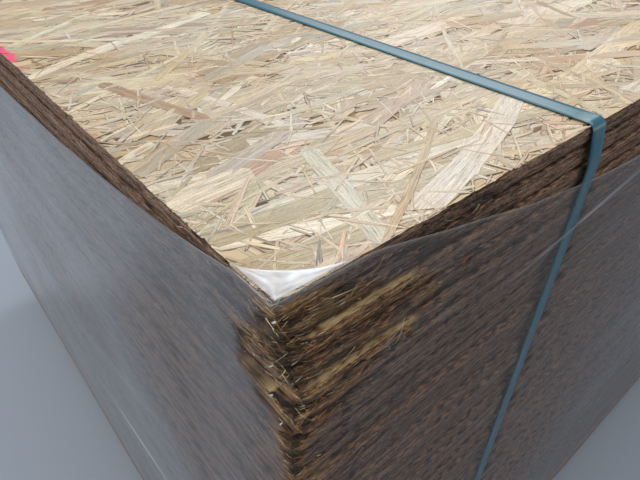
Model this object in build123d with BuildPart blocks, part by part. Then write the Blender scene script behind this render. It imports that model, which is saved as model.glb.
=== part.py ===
# A pack of oriented strand board as it leaves the mill: 66 panels piled on three timber bearers,
# bound by three plastic straps and wound in clear stretch film.
#
# Frame: the origin is on the floor under the middle of the pack, X runs along the panels,
# Y across them and Z up. The near end is at -X and the near side at -Y. Lengths are millimetres.
from build123d import *
from math import cos, radians, sin
import os

# the panels: 12 mm board, 2500 x 1250
panel_length = 2500.0
panel_width = 1250.0
panel_thickness = 12.0
panel_count = 66
panel_gap = 0.3  # air that the rough faces leave between two panels

# how far each panel lies from the middle of the pack, in X and in Y, for the ten upper ones
# whose edges show best, counted from the top
upper_slips = [
    (-3.0, 1.5),
    (-3.2, 1.3),
    (-2.0, -0.9),
    (-1.5, -1.3),
    (3.2, -2.5),
    (0.3, -1.5),
    (4.8, 0.2),
    (0.6, 0.7),
    (-0.2, 1.4),
    (1.4, 2.2),
]
slip_along = 3.0  # the most that a panel further down lies off, in X
slip_across = 2.0  # and in Y
slip_turn = 0.03  # the most that a panel is turned, in degrees
slip_step = 2.4  # angle in radians between two panels that keeps their slips unlike
panels_per_node = 8  # panels below the upper ones are kept in lots of this many
chipped_panel = 3  # whose near upper corner has been knocked off
chip_reach = 8.6  # of the broken corner, along each edge
chip_depth = 5.0

# the bearers: squared timbers across the pack
bearer_width = 90.0
bearer_height = 90.0
bearer_count = 3
bearer_setback = 202.0  # from the panels' end to the middle of the outer bearer

# the straps: polyester band, one over each bearer
strap_width = 13.0
strap_thickness = 0.8
strap_run_out = 1.8  # panels down from the top, where the strap has run out to those that stand furthest
strap_lead = 20.0  # above the bearer, where it leaves them again
strap_bow_radius = 60.0  # of the gentle bends at those two places
groove_width = 20.0  # of the groove that houses the strap under a bearer
groove_depth = 3.0
crush_radius = 4.0  # to which the strap has crushed the arrises that it is drawn round
crush_margin = 2.5  # that the crushed length is wider than the strap, on each side

# the stretch film: a sleeve round the four sides
film_thickness = 0.4
film_corner_radius = 5.0
film_foot = 40.0  # bare height under the film, from the lowest panel's underside
film_dip = 55.0  # that the film's upper edge hangs below the top, halfway between two corners
film_hold = 30.0  # length at each corner over which the edge keeps its full height
film_slope_run = 170.0  # from there to the point where the edge has fallen by film_slope_fall
film_slope_fall = 30.0

clearance = 0.3  # between pieces that lie on or against each other

# levels and reaches that follow from the sizes above
panel_pitch = panel_thickness + panel_gap
strap_drop = strap_run_out * panel_pitch
pile_base = bearer_height + clearance
pile_top = pile_base + panel_count * panel_pitch - panel_gap
half_length = panel_length / 2
half_width = panel_width / 2
bearer_stations = [
    (panel_length - 2 * bearer_setback) * (place / (bearer_count - 1) - 0.5)
    for place in range(bearer_count)
]


def slip(number):
    """How far panel `number`, counted from the top, lies off the pack's middle, in X and Y."""
    if number <= len(upper_slips):
        return upper_slips[number - 1]
    return slip_along * sin(slip_step * number), slip_across * cos(2 * slip_step * number)


def turn(number):
    """How far the panel is turned about the upright, in degrees; the top one lies square."""
    return slip_turn * sin(slip_step * (number - 1))


def reach(half_side, half_other, axis):
    """The furthest that any panel's corner stands from the middle of the pack along one axis."""
    corners = []
    for number in range(1, panel_count + 1):
        angle = radians(abs(turn(number)))
        corners.append(half_side * cos(angle) + half_other * sin(angle) + abs(slip(number)[axis]))
    return max(corners)


pile_reach_x = reach(half_length, half_width, 0)
pile_reach_y = reach(half_width, half_length, 1)
strap_reach = pile_reach_y + clearance  # inner face of the strap's upright runs


def panel(number):
    """Adds one panel, counted from the top, to the part in hand."""
    base = pile_top - panel_thickness - (number - 1) * panel_pitch
    with Locations(Location((*slip(number), base), (0, 0, turn(number)))):
        Box(panel_length, panel_width, panel_thickness, align=(Align.CENTER, Align.CENTER, Align.MIN))


def chip(number):
    """Breaks the near upper corner off panel `number`."""
    top = pile_top - (number - 1) * panel_pitch
    with BuildSketch(Plane.XY.offset(top)) as broken:
        with Locations(Location((*slip(number), 0), (0, 0, turn(number)))):
            with Locations((-half_length, -half_width)):
                Polygon((0, 0), (chip_reach, 0), (0, chip_reach), align=None)
    extrude(broken.sketch, amount=-chip_depth, mode=Mode.SUBTRACT)


def crush(side, level, outward, upward, station):
    """Rounds the arris along X at (side, level), over the length that a strap has crushed.

    outward and upward are 1 or -1 and say on which side of the arris the air is, in Y and in Z.
    """
    middle = (side - outward * crush_radius / 2, level - upward * crush_radius / 2)
    centre = (side - outward * crush_radius, level - upward * crush_radius)
    with BuildSketch(Plane.YZ.offset(station)) as corner:
        with Locations(middle):
            Rectangle(crush_radius, crush_radius)
        with Locations(centre):
            Circle(crush_radius, mode=Mode.SUBTRACT)
    extrude(corner.sketch, amount=strap_width / 2 + crush_margin, both=True, mode=Mode.SUBTRACT)


def finish(piece, name):
    """Labels a finished piece and writes it to its own file."""
    piece.part.label = name
    export_step(piece.part, f"parts/{name}.step")
    print(f"{name}: {len(piece.part.solids())} solids, {piece.part.volume / 1e6:.2f} litres")


os.makedirs("parts", exist_ok=True)

# the top panel, its arrises crushed where the straps are drawn over them
near_edge = slip(1)[1] - half_width
far_edge = slip(1)[1] + half_width
with BuildPart() as top_panel:
    panel(1)
    for station in bearer_stations:
        crush(near_edge, pile_top, -1, 1, station)
        crush(far_edge, pile_top, 1, 1, station)
finish(top_panel, "panel_01")

# the rest of the upper panels, one by one
for number in range(2, min(len(upper_slips), panel_count) + 1):
    with BuildPart() as upper_panel:
        panel(number)
        if number == chipped_panel:
            chip(number)
    finish(upper_panel, f"panel_{number:02d}")

# the panels below, in lots
for first in range(len(upper_slips) + 1, panel_count + 1, panels_per_node):
    last = min(first + panels_per_node - 1, panel_count)
    with BuildPart() as lot:
        for number in range(first, last + 1):
            panel(number)
    finish(lot, f"panels_{first:02d}_{last:02d}")

# bearers and straps, in pairs along the pack
places = ["near_end", "far_end"]
places[1:1] = ["middle"] if bearer_count == 3 else [f"middle_{n}" for n in range(1, bearer_count - 1)]

for place, station in zip(places, bearer_stations):
    with BuildPart() as bearer:
        with Locations((station, 0, 0)):
            Box(
                bearer_width,
                panel_width,
                bearer_height,
                align=(Align.CENTER, Align.CENTER, Align.MIN),
            )
            Box(
                groove_width,
                panel_width,
                groove_depth,
                align=(Align.CENTER, Align.CENTER, Align.MIN),
                mode=Mode.SUBTRACT,
            )
        crush(-half_width, groove_depth, -1, -1, station)
        crush(half_width, groove_depth, 1, -1, station)
    finish(bearer, f"bearer_{place}")

    # the strap's inner face, as a loop in the upright plane: over the top arrises, out to the
    # panels that stand furthest, down past them and in to the lower arrises of the bearer
    loop = [
        (near_edge - clearance, pile_top + clearance, crush_radius + clearance),
        (-strap_reach, pile_top - strap_drop, strap_bow_radius),
        (-strap_reach, bearer_height + strap_lead, strap_bow_radius),
        (-half_width - clearance, groove_depth - clearance, crush_radius + clearance),
        (half_width + clearance, groove_depth - clearance, crush_radius + clearance),
        (strap_reach, bearer_height + strap_lead, strap_bow_radius),
        (strap_reach, pile_top - strap_drop, strap_bow_radius),
        (far_edge + clearance, pile_top + clearance, crush_radius + clearance),
    ]
    with BuildSketch(Plane.YZ.offset(station)) as inside:
        with BuildLine():
            FilletPolyline(
                *[(across, up) for across, up, bend in loop],
                radius=[bend for across, up, bend in loop],
                close=True,
            )
        make_face()
    with BuildPart() as strap:
        with BuildSketch(Plane.YZ.offset(station)) as band:
            add(inside.sketch_local)
            offset(amount=strap_thickness)
            add(inside.sketch_local, mode=Mode.SUBTRACT)
        extrude(amount=strap_width / 2, both=True)
    finish(strap, f"strap_{place}")


# the film, outside the straps on the long sides and outside the panels' ends
film_inner_x = pile_reach_x + clearance
film_inner_y = strap_reach + strap_thickness + clearance
film_base = pile_base + film_foot


def slack_edge(plane, half_span, depth):
    """Trims the upper edge of the two walls that face the plane to a curve between two corners.

    The edge keeps its height near a corner, falls quickly and then levels out to film_dip.
    """
    start = (film_hold - half_span, pile_top)
    with BuildSketch(plane) as slack:
        with BuildLine():
            Spline(
                start,
                (start[0] + film_slope_run, pile_top - film_slope_fall),
                (0, pile_top - film_dip),
                tangents=[(film_slope_run, -1.5 * film_slope_fall), (1, 0)],
            )
            Line((0, pile_top - film_dip), (0, pile_top))
            Line((0, pile_top), start)
        make_face()
        mirror(about=Plane.YZ)
    extrude(slack.sketch, amount=depth, both=True, mode=Mode.SUBTRACT)


with BuildPart() as film:
    with BuildSketch(Plane.XY.offset(film_base)):
        RectangleRounded(
            2 * (film_inner_x + film_thickness),
            2 * (film_inner_y + film_thickness),
            film_corner_radius + film_thickness,
        )
        RectangleRounded(
            2 * film_inner_x,
            2 * film_inner_y,
            film_corner_radius,
            mode=Mode.SUBTRACT,
        )
    extrude(amount=pile_top - film_base)
    slack_edge(Plane.XZ, film_inner_x, panel_width)
    slack_edge(Plane.YZ, film_inner_y, panel_length)
finish(film, "film_wrap")

print(f"pack: {2 * (film_inner_x + film_thickness):.1f} long, "
      f"{2 * (film_inner_y + film_thickness):.1f} wide, "
      f"{pile_top + clearance + strap_thickness:.1f} high")
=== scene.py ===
# A pack of oriented strand board, strapped to timber bearers and wound in stretch film, dressed
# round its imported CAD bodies. Lengths are metres in the part's frame: X along the panels, Y across
# them and Z up. The camera faces the near corner, at -X and -Y.
import math
from functools import partial

import bpy
import numpy as np
from mathutils import Matrix, Vector


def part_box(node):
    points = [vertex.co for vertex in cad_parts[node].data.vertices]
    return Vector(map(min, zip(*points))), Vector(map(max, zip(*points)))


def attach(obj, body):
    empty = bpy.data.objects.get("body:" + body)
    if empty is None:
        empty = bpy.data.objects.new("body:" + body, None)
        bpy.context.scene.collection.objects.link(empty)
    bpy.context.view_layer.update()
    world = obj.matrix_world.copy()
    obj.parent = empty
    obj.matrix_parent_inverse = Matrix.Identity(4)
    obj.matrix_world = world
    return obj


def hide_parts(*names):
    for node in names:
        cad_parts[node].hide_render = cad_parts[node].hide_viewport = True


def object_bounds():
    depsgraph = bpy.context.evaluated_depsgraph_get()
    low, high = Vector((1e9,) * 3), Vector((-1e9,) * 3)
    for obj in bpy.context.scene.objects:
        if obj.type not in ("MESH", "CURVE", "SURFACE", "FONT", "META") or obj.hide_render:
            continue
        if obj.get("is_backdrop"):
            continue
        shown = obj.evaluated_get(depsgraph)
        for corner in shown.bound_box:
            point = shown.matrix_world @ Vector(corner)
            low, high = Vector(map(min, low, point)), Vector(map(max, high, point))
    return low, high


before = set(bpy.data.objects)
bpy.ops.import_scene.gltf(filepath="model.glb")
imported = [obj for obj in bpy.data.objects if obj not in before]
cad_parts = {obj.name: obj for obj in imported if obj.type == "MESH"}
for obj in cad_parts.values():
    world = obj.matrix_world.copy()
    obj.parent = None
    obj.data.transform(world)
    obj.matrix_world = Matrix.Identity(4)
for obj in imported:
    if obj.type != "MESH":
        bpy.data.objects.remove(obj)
cad_low, cad_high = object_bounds()
mm = 0.001

# The bearers are three 90 mm squared timbers laid across under the panels. They are softwood as it
# leaves the frame saw, with eased arrises and a shallow housing underneath for the strap.
places = ["near_end", "middle", "far_end"]
bearer_ease, bearer_saw_ripple = 2.5 * mm, 0.35 * mm
housing_half, housing_depth, housing_cheek = 10 * mm, 3 * mm, 12 * mm
ring_pitch, ripple_pitch = 3.4 * mm, 2.8 * mm
earlywood, latewood, timber_dust = "D8B98C", "A97C4E", "8F7A62"
wave_scale = math.tau / 20  # of a wave texture, times the waves in a metre
blend = {"data_type": "RGBA"}
multiply = {"data_type": "RGBA", "blend_type": "MULTIPLY"}


def linear(code):
    """The linear RGBA of an sRGB hex colour: each channel c becomes ((c + 0.055) / 1.055) ** 2.4."""
    parts = [int(code[i:i + 2], 16) / 255 for i in (0, 2, 4)]
    return [c / 12.92 if c <= 0.04045 else ((c + 0.055) / 1.055) ** 2.4 for c in parts] + [1.0]


def add_node(tree, kind, inputs=(), stops=(), **settings):
    """Adds one shader node. Its inputs, as a list or by name or number, take a value, a hex colour,
    an output, or another node, which stands for its first output in use. Stops are a ramp's."""
    made = tree.nodes.new("ShaderNode" + kind)
    for name, value in settings.items():
        setattr(made, name, value)
    for _ in stops[2:]:
        made.color_ramp.elements.new(0.5)
    if stops:
        for element, (place, code) in zip(made.color_ramp.elements, stops):
            element.position, element.color = place, linear(code)
    for key, value in inputs.items() if isinstance(inputs, dict) else enumerate(inputs):
        if isinstance(value, bpy.types.Node):
            value = next(output for output in value.outputs if output.enabled)
        if isinstance(value, bpy.types.NodeSocket):
            tree.links.new(value, made.inputs[key])
        else:
            made.inputs[key].default_value = linear(value) if isinstance(value, str) else value
    return made


def begin(name):
    """A new material, with its node tree emptied, and the function that adds nodes to that tree."""
    material = bpy.data.materials.new(name)
    material.use_nodes = True
    material.node_tree.nodes.clear()
    return material, partial(add_node, material.node_tree)


def noise(x, y, seed):
    """A smooth random field from 0 to 1: table values at whole numbers, blended in each cell by
    the cubic step 3u^2 - 2u^3 of the two fractions."""
    table = np.random.default_rng(seed).random((256, 256))
    i, j = np.floor(x).astype(int), np.floor(y).astype(int)
    u, v = x - i, y - j
    u, v = u * u * (3 - 2 * u), v * v * (3 - 2 * v)
    i, j, k, m = i % 256, j % 256, (i + 1) % 256, (j + 1) % 256
    low = table[i, j] * (1 - u) + table[k, j] * u
    high = table[i, m] * (1 - u) + table[k, m] * u
    return low * (1 - v) + high * v


def make_piece(name, points, quads, slot, materials, caps=(), stands_for=(), smooth=True, kinds=0,
               **marks):
    """Puts arrays into a mesh object that rides on the pack: points of three numbers, quads of four
    corner numbers, and caps as lists of corner numbers. Each mark holds one, three or four numbers
    for every point and becomes an attribute: a value, a vector or a colour."""
    points = np.reshape(points, (-1, 3))
    sizes = np.concatenate([np.full(len(quads), 4), [len(cap) for cap in caps]]).astype(int)
    mesh = bpy.data.meshes.new(name)
    mesh.vertices.add(len(points))
    mesh.loops.add(int(sizes.sum()))
    mesh.polygons.add(len(sizes))
    for parts, field, values, form in (
            (mesh.vertices, "co", points, np.float32),
            (mesh.loops, "vertex_index", np.concatenate([np.ravel(quads), *caps]), np.int32),
            (mesh.polygons, "loop_start", np.cumsum(sizes) - sizes, np.int32),
            (mesh.polygons, "use_smooth", np.broadcast_to(smooth, len(sizes)), bool),
            (mesh.polygons, "material_index", np.broadcast_to(kinds, len(sizes)), np.int32)):
        parts.foreach_set(field, np.ascontiguousarray(values, form).ravel())
    for key, values in marks.items():
        form, field = {1: ("FLOAT", "value"), 3: ("FLOAT_VECTOR", "vector"),
                       4: ("FLOAT_COLOR", "color")}[np.size(values) // len(points)]
        layer = mesh.attributes.new(key, form, "POINT")
        layer.data.foreach_set(field, np.ascontiguousarray(values, np.float32).ravel())
    mesh.update(calc_edges=True)
    piece = bpy.data.objects.new(name, mesh)
    bpy.context.scene.collection.objects.link(piece)
    for material in materials:
        mesh.materials.append(material)
    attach(piece, "root")
    if stands_for:
        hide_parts(*stands_for)
    return piece


def grid_quads(rows, columns, closed, looped=False):
    """The faces of a grid of rows by columns of points. Closed joins the end of each row to its
    start, and looped joins the last row to the first."""
    row, column = np.meshgrid(np.arange(rows if looped else rows - 1),
                              np.arange(columns if closed else columns - 1), indexing="ij")
    here, there, after = row * columns, (row + 1) % rows * columns, (column + 1) % columns
    return np.stack([here + column, here + after, there + after, there + column], -1).reshape(-1, 4)


# frame-sawn softwood: growth rings show as long stripes on the sides and as arcs on the ends, the
# saw leaves a fine cross ripple, and the yard leaves it a little grey
softwood, add = begin("frame_sawn_softwood")
wood = add("Attribute", attribute_name="grain").outputs["Vector"]
pith = add("Mapping", {0: wood, "Location": (0.055, 0, 0.03), "Scale": (1, 0.06, 1)})
rings = add("TexWave", {0: pith, "Scale": wave_scale / ring_pitch, "Distortion": 2.2, "Detail": 2.0,
                        "Detail Scale": 0.35},
            wave_type="RINGS", rings_direction="Y", wave_profile="SAW")
tint = add("ValToRGB", [rings.outputs["Fac"]], [(0.0, earlywood), (0.62, earlywood), (0.92, latewood)])
laid = add("Mapping", {0: wood, "Scale": (900, 22, 900)})
fibre = add("TexNoise", {0: laid, "Scale": 1.0, "Detail": 3.0})
patch = add("TexNoise", {0: wood, "Scale": 9.0, "Detail": 3.0})
grey = add("MapRange", [patch, 0.42, 0.7, 0.0, 0.55])
soiled = add("Mix", {0: grey, 6: tint, 7: timber_dust}, **blend)
shade = add("MapRange", [fibre, 0.0, 1.0, 0.78, 1.12])
colour = add("Mix", {0: 1.0, 6: soiled, 7: shade}, **multiply)
saw = add("TexWave", {0: wood, "Scale": wave_scale / ripple_pitch, "Distortion": 1.2, "Detail": 1.0},
          bands_direction="Y")
rough = add("Math", [saw.outputs["Fac"], fibre], operation="ADD")
bump = add("Bump", {"Height": rough, "Distance": 0.25 * mm, "Strength": 0.8})
timber = add("BsdfPrincipled", {"Base Color": colour, "Roughness": 0.78, "Normal": bump})
add("OutputMaterial", [timber])

for number, place in enumerate(places):
    low, high = (np.array(corner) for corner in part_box(f"bearer_{place}"))
    station, half, top = (low[0] + high[0]) / 2, (high[0] - low[0]) / 2, high[2]
    # the section, anticlockwise seen from -Y: flat sides and eased arrises, first on the right of
    # the housing and then mirrored on its left, and the housing's roof
    e, h = bearer_ease, housing_half
    right = [(h, 0), (h + housing_cheek, 0), (half - e, 0), (half - 0.3 * e, 0.3 * e), (half, e),
             (half, top / 3), (half, top / 1.5), (half, top - e), (half - 0.3 * e, top - 0.3 * e),
             (half - e, top), (half / 3, top)]
    section = right + [(-x, z) for x, z in reversed(right)] + [(-h, housing_depth), (h, housing_depth)]
    section = np.array(section)
    count = len(section)
    across = np.linspace(low[1], high[1], 110)[:, None]
    worn = noise(across / 0.03, np.arange(count)[None] * 0.9, 40 + number) * bearer_saw_ripple
    x = station + section[:, 0] * (1 - worn / half)
    points = np.stack(np.broadcast_arrays(x, across, section[:, 1]), -1)
    make_piece(f"bearer_{place}_sawn", points, grid_quads(len(across), count, True)[:, ::-1], "softwood",
               [softwood], caps=[np.arange(count), (len(across) - 1) * count + np.arange(count)[::-1]],
               stands_for=[f"bearer_{place}"], smooth=False, grain=points - (station, 0.37 * number, 0))

# The panels are 66 boards of 12 mm oriented strand board: pine strands, waxed and glued, laid in
# crossed layers and hot pressed, then sawn to size, which leaves brown, open, layered edges.
panel_thickness, panel_pitch = 12 * mm, 12.3 * mm
half_length, half_width = 1.25, 0.625
ledge_shown = 18 * mm
saw_waviness, void_depth = 0.5 * mm, 1.7 * mm
arris_chip, lower_tear = 1.7 * mm, 1.3 * mm
proud_panels, shy_panels, rim_bared = (3, 5), (2, 4), 0.75 * mm
shy_run, rim_pale_run = (130 * mm, 45 * mm), 85 * mm
# how the film clings to the edges, on the long sides and on the ends: depth, spread and reach
touch_depth, touch_spread, touch_reach = (38 * mm, 46 * mm), (27 * mm, 22 * mm), (64 * mm, 24 * mm)
touch_least, touch_border = 9 * mm, 12 * mm
chipped_panel, chip_loss, corner_wear = 3, 4.2 * mm, 4.4 * mm
crush_radius, crush_half = 4 * mm, 9 * mm
face_sunk, face_lip = 0.7 * mm, 2.5 * mm
pile_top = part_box("panel_01")[1][2]
strap_stations = [sum(corner[0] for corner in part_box(f"strap_{place}")) / 2 for place in places]
edge_void, edge_dark, edge_brown, edge_tan, edge_fleck = "2C1C13", "684B3A", "9D785F", "BC967A", "E0C6A6"
honey_void, honey_dark, honey_brown = "240F06", "713D16", "B4722B"
honey_amber, honey_fleck = "E6AC50", "FFEDB8"
face_straw, face_tan, face_gap = "CDB894", "A2845F", "4A3625"
gilt_dark, gilt_tan, gilt_pale = "6E4822", "D8A24E", "FFE6A6"


def plan_corners(node):
    """The panels of a CAD node, highest first: four plan corners from the near one anticlockwise
    seen from above, and the level of the underside."""
    low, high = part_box(node)
    points = np.array([v.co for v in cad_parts[node].data.vertices])
    found = []
    for k in range(round((high[2] - low[2] + panel_pitch - panel_thickness) / panel_pitch)):
        base = low[2] + k * panel_pitch
        flat = points[np.abs(points[:, 2] - base) < 0.1 * mm][:, :2]
        picks = [flat[np.argmax(flat @ way)] for way in ((-1, -1), (1, -1), (1, 1), (-1, 1))]
        found.insert(0, (np.array(picks), base))
    return found


nodes = sorted(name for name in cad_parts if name.startswith("panel"))
plans = [panel for name in nodes for panel in plan_corners(name)]
outlines, bases = (np.array(part) for part in zip(*plans))


def spaced(length, finest, coarsest, growth):
    """Distances from 0 up to length, whose step is growth times the distance, kept between finest
    and coarsest."""
    fine = np.linspace(0, length, 4000)
    count = np.diff(fine) / np.clip(fine[1:] * growth, finest, coarsest)
    count = np.concatenate([[0], np.cumsum(count)])
    return np.interp(np.linspace(0, count[-1], max(3, math.ceil(count[-1]) + 1)), count, fine)


def rim(corners, finest, coarsest, growth):
    """Points round a plan outline from its near corner, closest together there: for each its side,
    its distance from the side's start and to its end, and its spacing."""
    found = []
    for side in range(4):
        length = np.linalg.norm(corners[(side + 1) % 4] - corners[side])
        at = np.linspace(0, length, math.ceil(length / coarsest / 1.5))
        if side in (0, 3):
            at = spaced(length, finest, coarsest, growth)
            at = at if side == 0 else length - at[::-1]
        found.append([np.full(len(at) - 1, side), at[:-1], length - at[:-1], np.diff(at)])
    return [np.concatenate(part) for part in zip(*found)]


def film_touch(side, along, depth):
    """How fully the film clings to the edges beside a corner, from 0 to 1: its reach is a bell curve
    of the depth, widest three panels down and a thin strip below, with a ragged soft border."""
    long_side = side % 2 == 0
    middle, spread = np.where(long_side, *touch_depth), np.where(long_side, *touch_spread)
    bell = np.exp(-((depth - middle) / spread) ** 2)
    reach = touch_least + np.where(long_side, *touch_reach) * bell
    ragged = noise(along / 0.012 + 7 * side, depth / 0.007, 5) * 0.8
    ragged = ragged + noise(along / 0.004, depth / 0.002, 6) * 0.4
    return np.clip((reach * (0.45 + ragged) - along) / touch_border + 0.5, 0, 1)


# sawn board edge: cut strands show as thin wavy brown layers with dark voids between; where the
# film clings it looks wet and honey-coloured, and elsewhere it is dull with saw dust
board_edge, add = begin("sawn_strand_board_edge")
where = add("Attribute", attribute_name="edge").outputs["Vector"]
touch = add("Attribute", attribute_name="touch").outputs["Fac"]
# share of the tone, run, height and tilt of each kind of mark: torn fibres, strands cut along or
# across, whole layers, and slow changes from panel to panel
tone = 0.0
for share, run, height, tilt in ((0.8, 11 * mm, 0.5 * mm, 0.05), (0.75, 2.6 * mm, 0.6 * mm, -0.60),
                                 (0.7, 24 * mm, 1.4 * mm, 0.02), (0.35, 170 * mm, 3.4 * mm, 0.0)):
    laid = add("Mapping", {0: where, "Rotation": (0, 0, tilt), "Scale": (1 / run, 1 / height, 0)})
    marks = add("TexNoise", {0: laid, "Scale": 1.0, "Detail": 3.0, "Roughness": 0.62,
                             "Distortion": 0.5}, noise_dimensions="2D")
    centred = add("Math", [marks, 0.5], operation="SUBTRACT")
    tone = add("Math", [centred, share, tone], operation="MULTIPLY_ADD")
# run, height and tilt of the pale hairs
for run, height, tilt in ((8 * mm, 0.28 * mm, 0.22), (6 * mm, 0.26 * mm, -0.5)):
    laid = add("Mapping", {0: where, "Rotation": (0, 0, tilt), "Scale": (1 / run, 1 / height, 0)})
    hairs = add("TexNoise", {0: laid, "Scale": 1.0, "Detail": 1.0}, noise_dimensions="2D")
    tone = add("Math", [add("MapRange", [hairs, 0.64, 0.74, 0.0, 0.24]), tone], operation="ADD")
shown = add("Math", [tone, 0.48], operation="ADD")
brown = add("ValToRGB", [shown], [(0.28, edge_void), (0.40, edge_dark), (0.52, edge_brown),
                                  (0.66, edge_tan), (0.86, edge_fleck)])
honey = add("ValToRGB", [shown], [(0.34, honey_void), (0.44, honey_dark), (0.54, honey_brown),
                                  (0.64, honey_amber), (0.78, honey_fleck)])
skin = add("Mix", {0: touch, 6: brown, 7: honey}, **blend)
# painted shade: the deeper a point of the edge is recessed, the darker its colour
deep = add("SeparateXYZ", [where]).outputs["Z"]
hollow = add("MapRange", [deep, 0.5 * mm, 1.7 * mm, 1.0, 0.22])
colour = add("Mix", {0: 1.0, 6: skin, 7: hollow}, **multiply)
gloss = add("MapRange", [touch, 0.0, 1.0, 0.82, 0.36])
bump = add("Bump", {"Height": tone, "Distance": 1.0 * mm, "Strength": 1.0})
edge = add("BsdfPrincipled", {"Base Color": colour, "Roughness": gloss, "Normal": bump})
add("OutputMaterial", [edge])

# pressed board face, where it shows at a ledge, underneath or between the modelled strands: flat
# strands in straw and tan, mostly along the panel, with brown gaps; a ledge is streaked along its
# run, pale gold where the film clings, and dark brown as painted shade where it lies in a narrow joint
board_face, add = begin("pressed_strand_board_face")
where = add("TexCoord").outputs["Object"]
touch, bare, on_end = (add("Attribute", attribute_name=name).outputs["Fac"]
                       for name in ("touch", "bare", "on_end"))
layers = []
for turn, run, width in ((0.15, 70 * mm, 9 * mm), (-0.5, 55 * mm, 7 * mm)):
    laid = add("Mapping", {0: where, "Rotation": (0, 0, turn), "Scale": (1 / run, 1 / width, 1)})
    cells = add("TexVoronoi", {0: laid, "Scale": 1.0}, voronoi_dimensions="2D", distance="CHEBYCHEV")
    layers.append(add("SeparateColor", [cells.outputs["Color"]]))
pick = add("Math", [layers[1].outputs[1], 0.5], operation="GREATER_THAN")
strand = add("Mix", {0: pick, 2: layers[0], 3: layers[1]})
laid = add("Mapping", {0: where, "Scale": (40, 700, 1)})
streak = add("TexNoise", {0: laid, "Scale": 1.0})
sum_of = add("Math", [streak, 0.5, strand], operation="MULTIPLY_ADD")
colour = add("ValToRGB", [sum_of], [(0.2, face_gap), (0.55, face_tan), (1.0, face_straw)])
golden = add("Math", [touch, 0.9], operation="MULTIPLY")
along_x = add("Mapping", {0: where, "Rotation": (0, 0, 0.3), "Scale": (160, 700, 1)})
along_y = add("Mapping", {0: where, "Rotation": (0, 0, 0.2), "Scale": (700, 90, 1)})
by_side = add("Mix", {0: on_end, 4: along_x, 5: along_y}, data_type="VECTOR")
torn = add("TexNoise", {0: by_side, "Scale": 1.0, "Detail": 2.0})
gilt = add("ValToRGB", [torn], [(0.30, gilt_dark), (0.39, gilt_tan), (0.52, gilt_pale)])
wet = add("Mix", {0: golden, 6: colour, 7: gilt}, **blend)
# painted shade: dark browns for a rim that lies in the narrow joint under the panel above
joint_shade = add("ValToRGB", [torn], [(0.36, edge_void), (0.48, edge_dark), (0.62, edge_brown)])
ledge_with_joint_shade = add("Mix", {0: bare, 6: joint_shade, 7: wet}, **blend)
bump = add("Bump", {"Height": sum_of, "Distance": 0.3 * mm, "Strength": 0.6})
face = add("BsdfPrincipled", {"Base Color": ledge_with_joint_shade, "Roughness": 0.7, "Normal": bump})
add("OutputMaterial", [face])


def arris_loss(side, along, seed):
    """How far the saw and handling have broken an arris back: a fine ragged part, squared noise of
    4 mm pitch, and a few wider chips where a slow noise passes three quarters."""
    fine = noise(along / (3.5 * mm) + 31 * side, seed * 1.7, 11) ** 2
    wide = np.clip((noise(along / (16 * mm) + 17 * side, seed * 2.3, 12) - 0.72) / 0.28, 0, 1)
    return arris_chip * (0.7 * fine + 1.3 * wide)


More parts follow.
